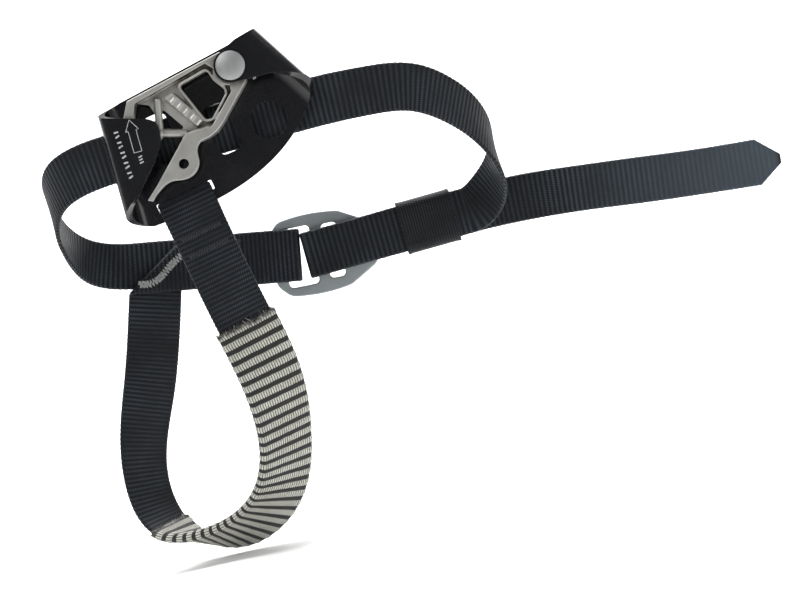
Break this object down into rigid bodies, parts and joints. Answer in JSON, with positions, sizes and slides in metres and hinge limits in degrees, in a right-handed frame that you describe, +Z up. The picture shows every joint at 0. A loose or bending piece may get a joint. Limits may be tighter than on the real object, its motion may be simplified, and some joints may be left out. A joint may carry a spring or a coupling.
{
  "type": "foot ascender",
  "caption": "Left foot ascender for rope climbing: toothed spring cam in a folded black sheet frame, with an adjustable ankle strap and a foot strap with a striped sleeve.",
  "frame": {"origin": "on the rope axis, at mid-height of the folded rope channel", "axes": "+Z up along the climbing rope, +X across the frame towards the cam axle, +Y towards the wearer's boot"},
  "size_m": [0.3415, 0.1009, 0.2258],
  "materials": {
    "anodised_sheet": "glossy black anodised folded sheet",
    "bright_steel": "satin turned steel",
    "cast_steel": "satin nickel-coloured investment cast steel, browner in its recesses",
    "spring_steel": "drawn spring wire",
    "buckle_alloy": "matte grey anodised plate",
    "ankle_webbing": "black cross-ribbed polyester webbing",
    "foot_webbing": "black webbing with a dotted rib",
    "elastic_tape": "plain black elastic tape",
    "striped_sleeve": "woven tube in cream and black cross stripes",
    "pale_thread": "pale grey-green bonded thread",
    "dark_thread": "black bonded thread"
  },
  "bodies": {
    "frame": {"frame_plate": "anodised_sheet", "axle_rivet": "bright_steel", "rivet_washer": "bright_steel", "pivot_sleeve": "bright_steel", "thrust_washer_front": "bright_steel", "thrust_washer_rear": "bright_steel", "torsion_spring": "spring_steel", "buckle_plate": "buckle_alloy", "ankle_strap": "ankle_webbing", "foot_strap": "foot_webbing", "wear_sleeve": "striped_sleeve", "junction_bar_tack": "pale_thread", "buckle_loop_stitches": "dark_thread", "frame_loop_stitches": "dark_thread"},
    "cam_lever": {"cam": "cast_steel"},
    "keeper": {"strap_keeper": "elastic_tape"}
  },
  "joints": [
    {"name": "cam_pivot", "type": "hinge", "parent": "frame", "child": "cam_lever", "pos_m": [0.0522, 0, 0.03], "axis": [0, -1, 0], "range_deg": [0, 50], "stiffness_Nm_per_rad": 0.02, "springref_deg": -28.65, "deforming": ["torsion_spring"]},
    {"name": "keeper_slide", "type": "slide", "parent": "frame", "child": "keeper", "axis": [1, 0, 0], "range_m": [-0.008, 0.006]}
  ]
}
